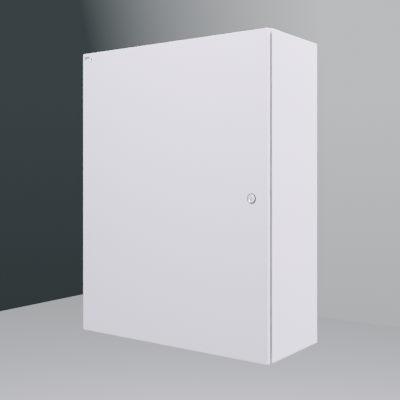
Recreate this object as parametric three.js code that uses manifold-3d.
// Automatic transfer switch panel: a wall-hung sheet-steel cabinet with a hinged, lockable door,
// and inside it a mounting plate with two supply breakers, a changeover switch and its controller.
// Millimetres. +X to the right, +Y into the wall, +Z up. The origin is the centre of the back face,
// so everything stands in front of it, at negative Y.

import * as THREE from 'three';
import { mergeVertices } from 'three/addons/utils/BufferGeometryUtils.js';
import Module from 'manifold-3d';

const wasm = await Module();
wasm.setup();

// ---------------------------------------------------------------- driving sizes

const gap = 0.3; // between pieces that touch

const cabinet = { width: 500, height: 650, depth: 215, sheet: 1.2, fold: 14, rim: 8 };
const door = { depth: 10, reveal: 5.5, side: 1, top: 2, bottom: 1 };
const hinge = { fromEnd: 85, pinRadius: 1.5, knuckleRadius: 2.6, halfBase: 10, leafEnd: 22 };
const lock = { fromEdge: 35, below: 5, barrelRadius: 8, flangeRadius: 10, plugRadius: 6, camLength: 30 };
const plate = { margin: 35, sheet: 2, standOff: 18, studInset: 20 };
const rail = { width: 35, height: 7.5, sheet: 1, web: 27 };
const duct = { width: 30, depth: 60, wall: 1.6, slot: 6.4, coverLip: 6 };
const pole = { pitch: 18, mouth: 10, mouthDeep: 12, wireRadius: 2.5, wireDepth: 24.3 };
const breaker = { height: 90, shoulder: 46.3, nose: 72.3, noseHeight: 45 };
const changeover = { height: 120, unitDepth: 76, driveDepth: 90.3, drivePoles: 5 };
const entry = { width: 320, depth: 94, flange: 13, sealHeight: 2.5, plateSheet: 1.5, holeRadius: 14 };

// ---------------------------------------------------------------- places that follow from them

const bodyFront = -(cabinet.depth - door.depth - door.reveal);
const doorFront = -cabinet.depth;
const doorRear = doorFront + door.depth;
const skinBack = doorFront + cabinet.sheet;
const halfWidth = cabinet.width / 2;
const halfHeight = cabinet.height / 2;
const foldInner = { x: halfWidth - cabinet.fold, z: halfHeight - cabinet.fold };
const rimFront = bodyFront - cabinet.rim;
const plateFront = -(plate.standOff + plate.sheet);
const plateHalf = { x: halfWidth - plate.margin, z: halfHeight - plate.margin };
const studAt = { x: plateHalf.x - plate.studInset, z: plateHalf.z - plate.studInset };
const sideDuctX = plateHalf.x - duct.width / 2 - 2;
const rowStart = -(sideDuctX - duct.width / 2 - 3);
const upperRailZ = plateHalf.z - 95;
const lowerRailZ = -(plateHalf.z - 110);
const barZ = -(plateHalf.z - 45);
const terminalHeight = 50;
const middleDuctZ = (upperRailZ - breaker.height / 2 + changeover.height / 2) / 2 + 3;
const lowerDuctZ = (lowerRailZ + terminalHeight / 2 - changeover.height / 2) / 2;

// ---------------------------------------------------------------- shape helpers

function solidOf(geometry) {
  const bare = geometry.clone();
  bare.deleteAttribute('normal');
  bare.deleteAttribute('uv');
  const merged = mergeVertices(bare, 1e-4);
  return new wasm.Manifold(new wasm.Mesh({
    numProp: 3,
    vertProperties: Float32Array.from(merged.attributes.position.array),
    triVerts: Uint32Array.from(merged.index.array),
  }));
}

function geometryOf(solid) {
  const mesh = solid.getMesh();
  const geometry = new THREE.BufferGeometry();
  geometry.setAttribute('position', new THREE.BufferAttribute(mesh.vertProperties, 3));
  geometry.setIndex(new THREE.BufferAttribute(mesh.triVerts, 1));
  geometry.computeVertexNormals();
  return geometry;
}

function join(solids) {
  return solids.reduce((whole, solid) => whole.add(solid));
}

function cut(solid, tools) {
  return tools.reduce((rest, tool) => rest.subtract(tool), solid);
}

// A box from its two limits along each axis.
function block([x0, x1], [y0, y1], [z0, z1]) {
  const geometry = new THREE.BoxGeometry(x1 - x0, y1 - y0, z1 - z0);
  geometry.translate((x0 + x1) / 2, (y0 + y1) / 2, (z0 + z1) / 2);
  return solidOf(geometry);
}

// A round bar along an axis; the centre is given in the other two axes, in x, y, z order.
function rod(axis, radius, [from, to], [u, v], sides = 16) {
  const geometry = new THREE.CylinderGeometry(radius, radius, to - from, sides);
  const middle = (from + to) / 2;
  if (axis === 'x') geometry.rotateZ(Math.PI / 2).translate(middle, u, v);
  if (axis === 'y') geometry.translate(u, middle, v);
  if (axis === 'z') geometry.rotateX(Math.PI / 2).translate(u, v, middle);
  return solidOf(geometry);
}

// An outline drawn across an axis, in x, y, z order, and pulled along it.
function prism(axis, points, [from, to]) {
  const swap = axis === 'y';
  const shape = new THREE.Shape(points.map(([u, v]) => new THREE.Vector2(swap ? v : u, swap ? u : v)));
  const geometry = new THREE.ExtrudeGeometry(shape, { depth: to - from, bevelEnabled: false });
  geometry.translate(0, 0, from);
  const [x, y, z] = [[1, 0, 0], [0, 1, 0], [0, 0, 1]].map((v) => new THREE.Vector3(...v));
  const turn = new THREE.Matrix4();
  if (axis === 'x') turn.makeBasis(y, z, x);
  if (axis === 'y') turn.makeBasis(z, x, y);
  geometry.applyMatrix4(turn);
  return solidOf(geometry);
}

// A turned piece about Z, from a profile of radius and height.
function turned(profile, sides) {
  return solidOf(new THREE.LatheGeometry(profile.map(([r, h]) => new THREE.Vector2(r, h)), sides)
    .rotateX(Math.PI / 2));
}

function ring([x0, x1], [z0, z1], y, inset) {
  const outer = block([x0, x1], y, [z0, z1]);
  const inner = [y[0] - 1, y[1] + 1];
  return outer.subtract(block([x0 + inset, x1 - inset], inner, [z0 + inset, z1 - inset]));
}

function tilted(solid, degrees, [y, z]) {
  return solid.translate([0, -y, -z]).rotate([degrees, 0, 0]).translate([0, y, z]);
}

const both = (value) => [-value, value];
const about = (centre, half) => [centre - half, centre + half];

// ---------------------------------------------------------------- materials

const paint = (color, roughness = 0.5, metalness = 0) =>
  new THREE.MeshStandardMaterial({ color, roughness, metalness });

const colours = {
  powderCoat: paint('#d9d6dc', 0.45),
  galvanised: paint('#b4b8ba', 0.45, 0.8),
  zincPlated: paint('#c9c8be', 0.3, 0.9),
  chrome: paint('#dddddd', 0.12, 1),
  brass: paint('#c2a35a', 0.35, 0.9),
  foam: paint('#25262a', 0.9),
  rubber: paint('#2f3033', 0.8),
  caseGrey: paint('#e6e6e2', 0.45),
  caseDark: paint('#3a3c40', 0.5),
  ductGrey: paint('#a9abad', 0.6),
  leverBlack: paint('#1b1b1d', 0.4),
  leverRed: paint('#a8261f', 0.4),
  leverBlue: paint('#2a55a0', 0.4),
  label: paint('#8f9096', 0.5),
  wireBrown: paint('#5a3524', 0.5),
  wireBlack: paint('#202022', 0.5),
  wireEarth: paint('#5f9a3a', 0.5),
};

function piece(group, name, solid, material, position = [0, 0, 0]) {
  const mesh = new THREE.Mesh(geometryOf(solid), material);
  mesh.name = name;
  mesh.position.set(...position);
  group.add(mesh);
  return mesh;
}

function subgroup(parent, position = [0, 0, 0]) {
  const group = new THREE.Group();
  group.position.set(...position);
  parent.add(group);
  return group;
}

const panel = new THREE.Group();

// ---------------------------------------------------------------- cabinet body
// Folded and welded sheet: back, four walls, a fold round the opening and a rim that the seal meets.
// Wall holes in the corners, four studs for the mounting plate and an earth stud are part of it.

const wallHole = { radius: 4.5, inset: 20 };
const plateStud = { radius: 4, shoulder: 7, front: -32 };
const earthStud = { radius: 3, length: 14, y: -170, z: -120 };
const entryY = -cabinet.depth / 2 + 7.5;

function corners(x, z) {
  return [[-x, z], [x, z], [-x, -z], [x, -z]];
}

function cabinetShell() {
  const { sheet, fold } = cabinet;
  const inside = block(both(halfWidth - sheet), [bodyFront + sheet, -sheet], both(halfHeight - sheet));
  const opening = block(both(foldInner.x - sheet), [bodyFront - 1, bodyFront + sheet + 1],
    both(foldInner.z - sheet));
  const box = cut(block(both(halfWidth), [bodyFront, 0], both(halfHeight)), [inside, opening]);
  const rim = ring(both(foldInner.x), both(foldInner.z), [rimFront, bodyFront + sheet / 2], sheet);
  const studs = corners(studAt.x, studAt.z).map(([x, z]) => join([
    rod('y', plateStud.shoulder, [-plate.standOff + gap, -sheet / 2], [x, z], 12),
    rod('y', plateStud.radius, [plateStud.front, -sheet / 2], [x, z], 12),
  ]));
  const wallX = -(halfWidth - sheet / 2);
  const earth = rod('x', earthStud.radius, [wallX, wallX + earthStud.length], [earthStud.y, earthStud.z], 12);
  const holes = corners(halfWidth - wallHole.inset, halfHeight - wallHole.inset)
    .map(([x, z]) => rod('y', wallHole.radius, [-2 * sheet, 1], [x, z], 16));
  const cableOpening = block(both(entry.width / 2), about(entryY, entry.depth / 2),
    [-halfHeight - 1, -halfHeight + 2 * sheet]);
  return cut(join([box, rim, earth, ...studs]), [...holes, cableOpening]);
}

const body = subgroup(panel);
piece(body, 'cabinet_shell', cabinetShell(), colours.powderCoat);

// ---------------------------------------------------------------- cable entry in the floor
// A gland plate on a foam seal closes the opening from inside; three membrane grommets fill its holes.

const entryFloor = -halfHeight + cabinet.sheet + gap;
const glandPlateZ = entryFloor + entry.sealHeight + gap;
const grommetPitch = 100;
const grommetXs = [-grommetPitch, 0, grommetPitch];

function glandSeal() {
  const y = about(entryY, entry.depth / 2 + entry.flange);
  const z = [entryFloor, entryFloor + entry.sealHeight];
  const hole = block(both(entry.width / 2), about(entryY, entry.depth / 2), [z[0] - 1, z[1] + 1]);
  return block(both(entry.width / 2 + entry.flange + 2), y, z).subtract(hole);
}

function glandPlate() {
  const z = [glandPlateZ, glandPlateZ + entry.plateSheet];
  const holes = grommetXs.map((x) => rod('z', entry.holeRadius, [z[0] - 1, z[1] + 1], [x, entryY], 24));
  return cut(block(both(entry.width / 2 + entry.flange + 2), about(entryY, entry.depth / 2 + entry.flange), z),
    holes);
}

// Steps down to a closed membrane; the groove round it grips the plate.
function grommet() {
  const groove = entry.holeRadius - gap;
  const lip = entry.holeRadius + 3;
  const plateTop = entry.plateSheet + gap;
  const step = 7;
  const wall = 1.5;
  const steps = [groove - 2, groove - 5, groove - 8];
  const outer = [[0, -4 - 3 * step], [steps[2], -4 - 3 * step], [steps[2], -4 - 2 * step],
    [steps[1], -4 - 2 * step], [steps[1], -4 - step], [steps[0], -4 - step], [steps[0], -3],
    [lip, -3], [lip, -gap], [groove, -gap], [groove, plateTop], [lip, plateTop], [lip, plateTop + 2]];
  const inner = [[steps[0] - wall, plateTop + 2], [steps[0] - wall, -4 - step + wall],
    [steps[1] - wall, -4 - step + wall], [steps[1] - wall, -4 - 2 * step + wall],
    [steps[2] - wall, -4 - 2 * step + wall], [steps[2] - wall, -4 - 3 * step + wall],
    [0, -4 - 3 * step + wall]];
  return turned([...outer, ...inner], 16);
}

piece(body, 'gland_plate_seal', glandSeal(), colours.foam);
piece(body, 'gland_plate', glandPlate(), colours.galvanised);
grommetXs.forEach((x, i) =>
  piece(body, `cable_grommet_${i + 1}`, grommet(), colours.rubber, [x, entryY, glandPlateZ]));

// ---------------------------------------------------------------- mounting plate
// Galvanised sheet held off the back on four studs with flange nuts. It carries all the devices,
// so they sit in its own group, where y = 0 is its front face.

const plateHoleRadius = plateStud.radius + 0.5;

function mountingPlate() {
  const slab = block(both(plateHalf.x), [0, plate.sheet], both(plateHalf.z));
  return cut(slab, corners(studAt.x, studAt.z)
    .map(([x, z]) => rod('y', plateHoleRadius, [-1, plate.sheet + 1], [x, z], 16)));
}

function flangeNut(bore, hexRadius, flangeRadius, height) {
  const flange = rod('y', flangeRadius, [-gap - 1.6, -gap], [0, 0], 18);
  const hex = rod('y', hexRadius, [-gap - height, -gap - 1], [0, 0], 6);
  return join([flange, hex]).subtract(rod('y', bore, [-height - 1, 1], [0, 0], 12));
}

const mount = subgroup(panel, [0, plateFront, 0]);
piece(mount, 'mounting_plate', mountingPlate(), colours.galvanised);
corners(studAt.x, studAt.z).forEach(([x, z], i) =>
  piece(mount, `plate_nut_${i + 1}`, flangeNut(plateStud.radius + gap, 7.5, 9, 8), colours.zincPlated, [x, 0, z]));

// ---------------------------------------------------------------- rails and wiring ducts

const rowHalfLength = sideDuctX - duct.width / 2 - 2.5;

function dinRail() {
  const { width, height, sheet, web } = rail;
  const half = [[-gap, 0], [-gap, web / 2], [-height + sheet, web / 2], [-height + sheet, width / 2],
    [-height, width / 2], [-height, web / 2 - sheet], [-gap - sheet, web / 2 - sheet]];
  const mirrored = half.slice(1).reverse().map(([y, z]) => [y, -z]);
  return prism('x', [...half.slice(1), ...mirrored], both(rowHalfLength - 2));
}

// A trough with a comb of open slots in both walls. Length runs along X; slots follow the poles.
function ductTrough(from, to, slotStart) {
  const front = -duct.depth;
  const slotFloor = -gap - 12;
  const outline = [[from, -gap], [from, front]];
  const count = Math.floor((to - 4 - slotStart) / pole.pitch + 0.5);
  for (let i = 0; i < count; i += 1) {
    const centre = slotStart + (i + 0.5) * pole.pitch;
    if (centre - duct.slot / 2 < from + 3) continue;
    const [left, right] = about(centre, duct.slot / 2);
    outline.push([left, front], [left, slotFloor], [right, slotFloor], [right, front]);
  }
  outline.push([to, front], [to, -gap]);
  const comb = (z) => prism('z', outline, z);
  const edge = duct.width / 2;
  return join([block([from, to], [-gap - duct.wall, -gap], both(edge)),
    comb([-edge, -edge + duct.wall]), comb([edge - duct.wall, edge])]);
}

function ductCover(from, to) {
  const face = [-duct.depth - gap - duct.wall, -duct.depth - gap];
  const lip = [-duct.depth - gap - duct.wall, -duct.depth + duct.coverLip];
  const inner = duct.width / 2 + gap;
  const outer = inner + 1.2;
  return join([block([from, to], face, both(outer)),
    block([from, to], lip, [inner, outer]), block([from, to], lip, [-outer, -inner])]);
}

const sideDuctHalf = studAt.z - 15;
const upright = (solid) => solid.rotate([0, -90, 0]);
const rowDuct = ductTrough(-rowHalfLength, rowHalfLength, rowStart);
const rowCover = ductCover(-rowHalfLength, rowHalfLength);
const sideDuct = upright(ductTrough(-sideDuctHalf, sideDuctHalf, -sideDuctHalf));
const sideCover = upright(ductCover(-sideDuctHalf, sideDuctHalf));

piece(mount, 'din_rail_upper', dinRail(), colours.galvanised, [0, 0, upperRailZ]);
piece(mount, 'din_rail_lower', dinRail(), colours.galvanised, [0, 0, lowerRailZ]);
[['left', -sideDuctX, 0, sideDuct, sideCover], ['right', sideDuctX, 0, sideDuct, sideCover],
  ['middle', 0, middleDuctZ, rowDuct, rowCover], ['lower', 0, lowerDuctZ, rowDuct, rowCover],
].forEach(([place, x, z, trough, cover]) => {
  piece(mount, `duct_${place}`, trough, colours.ductGrey, [x, 0, z]);
  piece(mount, `duct_cover_${place}`, cover, colours.ductGrey, [x, 0, z]);
});

// ---------------------------------------------------------------- devices on the rails
// Every device is drawn from its own left edge, with z = 0 on the rail's centre line.

const clipBack = 2.3;
const seat = rail.height + gap;

// The claws reach behind the rail's flanges and the seat stops just in front of them.
const clip = [[-clipBack, -rail.web / 2 - 0.5], [-rail.height + rail.sheet + gap, -rail.web / 2 - 0.5],
  [-rail.height + rail.sheet + gap, -rail.width / 2 - gap], [-seat, -rail.width / 2 - gap],
  [-seat, rail.width / 2 + gap], [-rail.height + rail.sheet + gap, rail.width / 2 + gap],
  [-rail.height + rail.sheet + gap, rail.web / 2 + 0.5], [-clipBack, rail.web / 2 + 0.5]];

function clippedCase(front, width) {
  return prism('x', [...clip, ...front], [gap / 2, width - gap / 2]);
}

function poleCentre(index) {
  return (index + 0.5) * pole.pitch;
}

// Wire mouths in the top and bottom faces, one pair for each pole.
function mouths(count, halfHeightHere) {
  const tools = [];
  for (let i = 0; i < count; i += 1) {
    const x = about(poleCentre(i), pole.mouth / 2);
    const y = about(-pole.wireDepth, 4.5);
    tools.push(block(x, y, [halfHeightHere - pole.mouthDeep, halfHeightHere + 1]));
    tools.push(block(x, y, [-halfHeightHere - 1, -halfHeightHere + pole.mouthDeep]));
  }
  return tools;
}

const toggle = { hubRadius: 7, width: 8, behind: 3, reach: 18, thick: 4, throwAngle: 40 };
const toggleY = -(breaker.nose - toggle.behind);

function breakerCase(poles) {
  const { height, shoulder, nose, noseHeight } = breaker;
  const front = [[-clipBack, height / 2], [-shoulder, height / 2], [-shoulder, noseHeight / 2],
    [-nose, noseHeight / 2], [-nose, -noseHeight / 2], [-shoulder, -noseHeight / 2],
    [-shoulder, -height / 2], [-clipBack, -height / 2]];
  const slots = [];
  for (let i = 0; i < poles; i += 1) {
    slots.push(rod('x', toggle.hubRadius + 0.6, about(poleCentre(i), toggle.width / 2 + gap), [toggleY, 0], 20));
  }
  return cut(clippedCase(front, poles * pole.pitch), [...mouths(poles, height / 2), ...slots]);
}

// One lever to each pole, tied together by a bar; they stand up in the on position.
function breakerToggle(poles) {
  const parts = [];
  for (let i = 0; i < poles; i += 1) {
    const x = about(poleCentre(i), toggle.width / 2);
    parts.push(rod('x', toggle.hubRadius, x, [toggleY, 0], 20));
    parts.push(tilted(block(x, [toggleY - toggle.reach, toggleY], both(toggle.thick / 2)),
      -toggle.throwAngle, [toggleY, 0]));
  }
  const bar = block([poleCentre(0) - 4, poleCentre(poles - 1) + 4],
    [toggleY - toggle.reach, toggleY - toggle.reach + 5], both(toggle.thick / 2));
  parts.push(tilted(bar, -toggle.throwAngle, [toggleY, 0]));
  return join(parts);
}

const supplyPoles = 4;
const driveStart = supplyPoles * pole.pitch;
const unit2Start = driveStart + changeover.drivePoles * pole.pitch;
const controlBreakerStart = driveStart + pole.pitch;
const controllerStart = unit2Start + supplyPoles * pole.pitch + 8;
const upperRow = subgroup(mount, [rowStart + pole.pitch, 0, upperRailZ]);

[['breaker_1', 0, supplyPoles, colours.leverBlack], ['breaker_2', unit2Start, supplyPoles, colours.leverBlack],
  ['control_breaker', controlBreakerStart, 2, colours.leverBlue],
].forEach(([name, x, poles, lever]) => {
  piece(upperRow, `${name}_case`, breakerCase(poles), colours.caseGrey, [x, 0, 0]);
  piece(upperRow, `${name}_toggle`, breakerToggle(poles), lever, [x, 0, 0]);
});

// The controller watches both supplies. Its two push buttons travel into blind bores.
const controller = { width: 90, height: 90, edge: 56, face: 62, buttonRadius: 4, buttonZ: -28, buttonX: [31, 59] };

function controllerCase() {
  const { width, height, edge, face, buttonRadius, buttonZ, buttonX } = controller;
  const front = [[-clipBack, height / 2], [-edge, height / 2], [-face, height / 2 - 5],
    [-face, -height / 2 + 5], [-edge, -height / 2], [-clipBack, -height / 2]];
  return cut(clippedCase(front, width), buttonX.map((x) =>
    rod('y', buttonRadius + gap, [-face - 1, -face + 6], [x, buttonZ], 16)));
}

piece(upperRow, 'controller_case', controllerCase(), colours.caseDark, [controllerStart, 0, 0]);
controller.buttonX.forEach((x, i) => piece(upperRow, `controller_button_${i + 1}`,
  rod('y', controller.buttonRadius, [-controller.face - 1.8, -controller.face + 4.2], [0, 0], 16),
  colours.label, [controllerStart + x, 0, controller.buttonZ]));

// ---------------------------------------------------------------- changeover switch
// Two four-pole switch units side by side with the drive between them. The lever on the drive throws
// both; a marked wheel on the lever's own shaft shows the position, and a knob beside it selects
// automatic or manual working.

const lever = { hubRadius: 12, width: 16, behind: 5, reach: 45, thick: 7, throwAngle: 40 };
const leverY = -(changeover.driveDepth - lever.behind);
const wheel = { radius: 11, from: 12, width: 9, shaft: 3 };
const driveCentre = changeover.drivePoles * pole.pitch / 2;
const knob = { radius: 8, height: 8, x: driveCentre + 22, z: -38, stem: 3 };

function switchUnit() {
  const half = changeover.height / 2;
  const { unitDepth } = changeover;
  const side = [[-gap, half], [-unitDepth + 26, half], [-unitDepth + 26, half - 26], [-unitDepth, half - 26],
    [-unitDepth, -half + 26], [-unitDepth + 26, -half + 26], [-unitDepth + 26, -half], [-gap, -half]];
  return cut(prism('x', side, [gap / 2, supplyPoles * pole.pitch - gap / 2]), mouths(supplyPoles, half));
}

function driveCase() {
  const half = changeover.height / 2;
  const front = -changeover.driveDepth;
  const caseBlock = block([gap / 2, 2 * driveCentre - gap / 2], [front, -gap], both(half));
  return cut(caseBlock, [
    rod('x', lever.hubRadius + 0.6, about(driveCentre, lever.width / 2 + gap), [leverY, 0], 28),
    rod('x', wheel.radius + 0.6, about(driveCentre + wheel.from + wheel.width / 2, wheel.width / 2 + gap),
      [leverY, 0], 28),
    rod('x', wheel.shaft + gap, [driveCentre, driveCentre + wheel.from + 1], [leverY, 0], 16),
    rod('y', knob.stem + gap, [front - 1, front + 6], [knob.x, knob.z], 16),
  ]);
}

function transferHandle() {
  const hub = rod('x', lever.hubRadius, both(lever.width / 2), [leverY, 0], 28);
  const arm = block(both(5), [leverY - lever.reach, leverY], both(lever.thick / 2));
  const grip = block(both(12), [leverY - lever.reach, leverY - lever.reach + 11], both(lever.thick / 2));
  return join([hub, tilted(join([arm, grip]), -lever.throwAngle, [leverY, 0])]);
}

// Its shaft passes through the wall between the two hollows, up to the lever's hub.
function indicatorWheel() {
  const disc = rod('x', wheel.radius, [wheel.from, wheel.from + wheel.width], [leverY, 0], 28);
  return disc.add(rod('x', wheel.shaft, [lever.width / 2 + gap, wheel.from + 1], [leverY, 0], 16));
}

function selectorKnob() {
  const front = -changeover.driveDepth;
  return join([rod('y', knob.radius, [front - gap - knob.height, front - gap], [0, 0], 24),
    rod('y', knob.stem, [front - gap - 1, front + 5.4], [0, 0], 16),
    block(both(1.5), [front - gap - knob.height - 3, front - gap - 1], [-7, 7])]);
}

const switchRow = subgroup(mount, [rowStart + pole.pitch, 0, 0]);
piece(switchRow, 'switch_unit_1', switchUnit(), colours.caseGrey);
piece(switchRow, 'switch_unit_2', switchUnit(), colours.caseGrey, [unit2Start, 0, 0]);
piece(switchRow, 'drive_case', driveCase(), colours.caseDark, [driveStart, 0, 0]);
piece(switchRow, 'transfer_handle', transferHandle(), colours.leverRed, [driveStart + driveCentre, 0, 0]);
piece(switchRow, 'position_indicator', indicatorWheel(), colours.label, [driveStart + driveCentre, 0, 0]);
piece(switchRow, 'mode_selector', selectorKnob(), colours.leverBlack, [driveStart + knob.x, 0, knob.z]);

// ---------------------------------------------------------------- terminals and bars

const loadPoles = 5;
const controlTerminal = { count: 12, pitch: 7.5, height: rail.width + 5, front: 44, groove: 0.8 };

function loadTerminals() {
  const half = terminalHeight / 2;
  const front = [[-clipBack, half], [-34, half], [-42, half - 8], [-42, -half + 8], [-34, -half],
    [-clipBack, -half]];
  return cut(clippedCase(front, loadPoles * pole.pitch), mouths(loadPoles, half));
}

function controlTerminals() {
  const { count, pitch, height, front, groove } = controlTerminal;
  const half = height / 2;
  const side = [[-clipBack, half], [-front + 10, half], [-front, half - 8], [-front, -half + 8],
    [-front + 10, -half], [-clipBack, -half]];
  const tools = [];
  for (let i = 1; i < count; i += 1) {
    tools.push(block(about(i * pitch, groove / 2), [-front - 1, -front + 4], both(half + 1)));
  }
  return cut(clippedCase(side, count * pitch), tools);
}

const bar = { length: 100, height: 10, thick: 8, base: 14, holes: 8, holeRadius: 2.4 };

// A drilled bar on a block; wires enter through the cross holes.
function terminalBar() {
  const foot = block(both(bar.length / 2 + 6), [-gap - bar.base, -gap], both(bar.height / 2 + 3));
  const strip = block(both(bar.length / 2), [-gap - bar.base - bar.thick, -gap - bar.base + 1], both(bar.height / 2));
  const pitch = bar.length / bar.holes;
  const y = -gap - bar.base - bar.thick / 2;
  const tools = [];
  for (let i = 0; i < bar.holes; i += 1) {
    const x = (i + 0.5) * pitch - bar.length / 2;
    tools.push(rod('z', bar.holeRadius, both(bar.height), [x, y], 10));
  }
  return cut(join([foot, strip]), tools);
}

const lowerRow = subgroup(mount, [rowStart + pole.pitch, 0, lowerRailZ]);
const controlStart = driveStart + loadPoles * pole.pitch + 12;
piece(lowerRow, 'load_terminals', loadTerminals(), colours.caseGrey, [driveStart, 0, 0]);
piece(lowerRow, 'control_terminals', controlTerminals(), colours.ductGrey, [controlStart, 0, 0]);
piece(mount, 'neutral_bar', terminalBar(), colours.brass, [-90, 0, barZ]);
piece(mount, 'earth_bar', terminalBar(), colours.brass, [90, 0, barZ]);

// ---------------------------------------------------------------- wiring
// Solid wires straight down from each breaker through the middle duct to its switch unit, and a
// load trunk in the lower duct that joins both units to the load terminals.

const insert = pole.mouthDeep - 4;
const tie = { thick: 2, height: 5 };

function wire(index, z) {
  return rod('z', pole.wireRadius, z, [poleCentre(index), -pole.wireDepth], 10);
}

function supplyHarness() {
  const z = [changeover.height / 2 - insert, upperRailZ - breaker.height / 2 + insert];
  const wires = [...Array(supplyPoles).keys()].map((i) => wire(i, z));
  const band = block([poleCentre(0) - 3.5, poleCentre(supplyPoles - 1) + 3.5],
    about(-pole.wireDepth, tie.thick / 2), about(middleDuctZ, tie.height / 2));
  return join([...wires, band]);
}

function loadHarness() {
  const unitPoles = [0, 1, 2, 3].flatMap((i) => [i, i + unit2Start / pole.pitch]);
  const drops = unitPoles.map((i) => wire(i, [lowerDuctZ, -changeover.height / 2 + insert]));
  const first = driveStart / pole.pitch;
  const feeds = [0, 1, 2, 3].map((i) =>
    wire(first + i, [lowerRailZ + terminalHeight / 2 - insert, lowerDuctZ]));
  const last = poleCentre(unit2Start / pole.pitch + supplyPoles - 1);
  const trunk = rod('x', 7, [poleCentre(0) - 3, last + 3], [-pole.wireDepth, lowerDuctZ], 12);
  return join([...drops, ...feeds, trunk]);
}

piece(switchRow, 'harness_source_1', supplyHarness(), colours.wireBrown);
piece(switchRow, 'harness_source_2', supplyHarness(), colours.wireBrown, [unit2Start, 0, 0]);
piece(switchRow, 'harness_load', loadHarness(), colours.wireBlack);

// ---------------------------------------------------------------- hinges
// Pins stand in the gap behind the door's return edge. The base knuckle sits between two leaf
// knuckles; the base is fixed to the cabinet's fold and the leaf to the back of the door's skin.

const pivot = { x: -(halfWidth - 5.2), y: bodyFront - 7 };
const hingeZs = [halfHeight - hinge.fromEnd, -(halfHeight - hinge.fromEnd)];
const leafStart = hinge.halfBase + 1;

function hingeBase() {
  const z = both(hinge.halfBase);
  const fold = bodyFront - gap - pivot.y;
  const knuckle = rod('z', hinge.knuckleRadius, z, [0, 0], 16);
  const arm = block(both(2), [0, fold], z);
  const foot = block([-2, 8.3], [fold - 2, fold], z);
  return join([knuckle, arm, foot]).subtract(rod('z', hinge.pinRadius + gap, both(30), [0, 0], 12));
}

function hingeLeaf() {
  const skin = skinBack + gap - pivot.y;
  const strip = block([-2.6, 3.1], [skin, skin + 2], both(hinge.leafEnd));
  const ends = [[leafStart, hinge.leafEnd], [-hinge.leafEnd, -leafStart]].flatMap((z) => [
    rod('z', hinge.knuckleRadius, z, [0, 0], 16), block(both(2), [skin + 1, 0], z)]);
  return join([strip, ...ends]).subtract(rod('z', hinge.pinRadius + gap, both(30), [0, 0], 12));
}

function hingePin() {
  const top = hinge.leafEnd + gap;
  return join([rod('z', hinge.pinRadius, [-hinge.leafEnd - 0.5, top + 0.5], [0, 0], 12),
    rod('z', hinge.knuckleRadius - 0.2, [top, top + 1.5], [0, 0], 12)]);
}

// ---------------------------------------------------------------- door
// A shallow tray of the same sheet, notched behind its hinges, with a foam seal, two stiffeners,
// a document pocket and an earth stud on its back.

const doorBox = { x: halfWidth - door.side, top: halfHeight - door.top, bottom: -halfHeight + door.bottom };
const lockAt = { x: halfWidth - door.side - lock.fromEdge, z: -lock.below };
const doorStud = { x: -(halfWidth - 35), z: earthStud.z, rear: skinBack + 14 };

function doorPanel() {
  const { sheet } = cabinet;
  const z = [doorBox.bottom, doorBox.top];
  const tray = block(both(doorBox.x), [doorFront, doorRear], z);
  const inside = block(both(doorBox.x - sheet), [skinBack, doorRear + 1], [z[0] + sheet, z[1] - sheet]);
  const notches = hingeZs.map((h) => block([-doorBox.x - 1, -doorBox.x + sheet + 0.5],
    [pivot.y - 5, doorRear + 1], about(h, hinge.halfBase + 1.5)));
  const lockHole = rod('y', lock.barrelRadius + gap, [doorFront - 1, skinBack + 1], [lockAt.x, lockAt.z], 24);
  const stud = rod('y', earthStud.radius, [skinBack - sheet / 2, doorStud.rear], [doorStud.x, doorStud.z], 12);
  return cut(join([tray.subtract(inside), stud]), [...notches, lockHole]);
}

function doorSeal() {
  const rimLine = { x: foldInner.x - cabinet.sheet / 2, z: foldInner.z - cabinet.sheet / 2 };
  return ring(both(rimLine.x + 6), both(rimLine.z + 6), [skinBack + gap, rimFront - gap], 12);
}

function stiffener() {
  const y = [skinBack + gap, skinBack + gap + 12];
  const z = both(halfHeight - 45);
  const inside = block(both(10 - cabinet.sheet), [y[0] - 1, y[1] - cabinet.sheet], [z[0] - 1, z[1] + 1]);
  const feet = block(both(15), [y[0], y[0] + cabinet.sheet], z);
  return join([block(both(10), y, z), feet]).subtract(inside);
}

const pocket = { width: 230, height: 150, depth: 20, wall: 2, bottom: -230 };

function documentPocket() {
  const y = [skinBack + gap, skinBack + gap + pocket.depth];
  const z = [pocket.bottom, pocket.bottom + pocket.height];
  const hollow = block(both(pocket.width / 2 - pocket.wall), [y[0] + pocket.wall, y[1] - pocket.wall],
    [z[0] + pocket.wall, z[1] + 1]);
  return block(both(pocket.width / 2), y, z).subtract(hollow);
}

const leafGroup = subgroup(panel);
piece(leafGroup, 'door_panel', doorPanel(), colours.powderCoat);
piece(leafGroup, 'door_seal', doorSeal(), colours.foam);
piece(leafGroup, 'door_stiffener_left', stiffener(), colours.powderCoat, [-(lockAt.x - 24), 0, 0]);
piece(leafGroup, 'door_stiffener_right', stiffener(), colours.powderCoat, [lockAt.x - 28, 0, 0]);
piece(leafGroup, 'document_pocket', documentPocket(), colours.caseGrey);
piece(leafGroup, 'nameplate', block([0, 17], [doorFront - gap - 0.5, doorFront - gap], [0, 6]), colours.label,
  [-doorBox.x + 5.5, 0, doorBox.top - 13]);

['upper', 'lower'].forEach((place, i) => {
  const at = [pivot.x, pivot.y, hingeZs[i]];
  piece(body, `hinge_base_${place}`, hingeBase(), colours.zincPlated, at);
  piece(leafGroup, `hinge_leaf_${place}`, hingeLeaf(), colours.zincPlated, at);
  piece(leafGroup, `hinge_pin_${place}`, hingePin(), colours.zincPlated, at);
});

// ---------------------------------------------------------------- cam lock
// Its group stands on the lock's axis. The housing is clamped to the door by a nut; the plug turns
// in it and carries the cam, which stands up when unlocked and swings behind the cabinet's fold.

const cam = { thick: 2.5, width: 16, square: 8, front: bodyFront + cabinet.sheet + 0.8 };
const housingRear = skinBack + 12;

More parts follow.
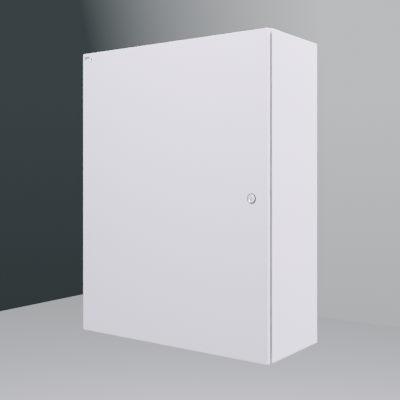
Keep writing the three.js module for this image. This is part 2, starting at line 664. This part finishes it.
function lockHousing() {
  const flange = rod('y', lock.flangeRadius, [doorFront - gap - 2.6, doorFront - gap], [0, 0], 32);
  const barrel = rod('y', lock.barrelRadius, [doorFront - gap - 1, housingRear], [0, 0], 24);
  return join([flange, barrel]).subtract(
    rod('y', lock.plugRadius + gap, [doorFront - 4, housingRear + 1], [0, 0], 24));
}

function lockNut() {
  const y = [skinBack + gap, skinBack + gap + 4.5];
  return rod('y', 11.5, y, [0, 0], 6).subtract(
    rod('y', lock.barrelRadius + gap, [y[0] - 1, y[1] + 1], [0, 0], 24));
}

function lockCylinder() {
  const front = doorFront - gap - 2.4;
  const rear = cam.front + cam.thick;
  const plug = rod('y', lock.plugRadius, [front, housingRear + gap], [0, 0], 24);
  const neck = block(both(cam.square / 2), [housingRear - 1, rear + 1], both(cam.square / 2));
  const head = rod('y', lock.plugRadius, [rear + gap, rear + gap + 3], [0, 0], 24);
  const keySlot = block(both(0.9), [front - 1, front + 6], both(4));
  return join([plug, neck, head]).subtract(keySlot);
}

function lockCam() {
  const y = [cam.front, cam.front + cam.thick];
  const blade = block(both(cam.width / 2), y, [-cam.width / 2, lock.camLength]);
  const hole = block(both(cam.square / 2 + gap), [y[0] - 1, y[1] + 1], both(cam.square / 2 + gap));
  return blade.subtract(hole);
}

const lockGroup = subgroup(leafGroup, [lockAt.x, 0, lockAt.z]);
piece(lockGroup, 'lock_housing', lockHousing(), colours.chrome);
piece(lockGroup, 'lock_nut', lockNut(), colours.zincPlated);
piece(lockGroup, 'lock_cylinder', lockCylinder(), colours.chrome);
piece(lockGroup, 'lock_cam', lockCam(), colours.zincPlated);

// ---------------------------------------------------------------- earth lead
// Joins the cabinet's earth stud to the door's, with a hanging loop that lets the door open.

function earthLead() {
  const lugX = -(halfWidth - cabinet.sheet) + 9;
  const lugY = skinBack + 9;
  const route = new THREE.CatmullRomCurve3([
    new THREE.Vector3(lugX, earthStud.y, earthStud.z - 8),
    new THREE.Vector3(lugX + 1, earthStud.y - 1, earthStud.z - 22),
    new THREE.Vector3(lugX + 9, earthStud.y - 9, earthStud.z - 44),
    new THREE.Vector3(doorStud.x - 4, lugY + 9, doorStud.z - 44),
    new THREE.Vector3(doorStud.x, lugY + 1, doorStud.z - 22),
    new THREE.Vector3(doorStud.x, lugY, doorStud.z - 8),
  ]);
  const section = new THREE.Shape().absarc(0, 0, 2.25, 0, 2 * Math.PI);
  const cable = solidOf(new THREE.ExtrudeGeometry(section, { steps: 16, curveSegments: 4, extrudePath: route }));
  const cabinetLug = join([rod('x', 6, about(lugX, 0.8), [earthStud.y, earthStud.z], 12),
    block(about(lugX, 0.8), about(earthStud.y, 3), [earthStud.z - 12, earthStud.z])])
    .subtract(rod('x', earthStud.radius + gap, about(lugX, 3), [earthStud.y, earthStud.z], 12));
  const doorLug = join([rod('y', 6, about(lugY, 0.8), [doorStud.x, doorStud.z], 12),
    block(about(doorStud.x, 3), about(lugY, 0.8), [doorStud.z - 12, doorStud.z])])
    .subtract(rod('y', earthStud.radius + gap, about(lugY, 3), [doorStud.x, doorStud.z], 12));
  return join([cable, cabinetLug, doorLug]);
}

piece(body, 'earth_lead', earthLead(), colours.wireEarth);

export default panel;
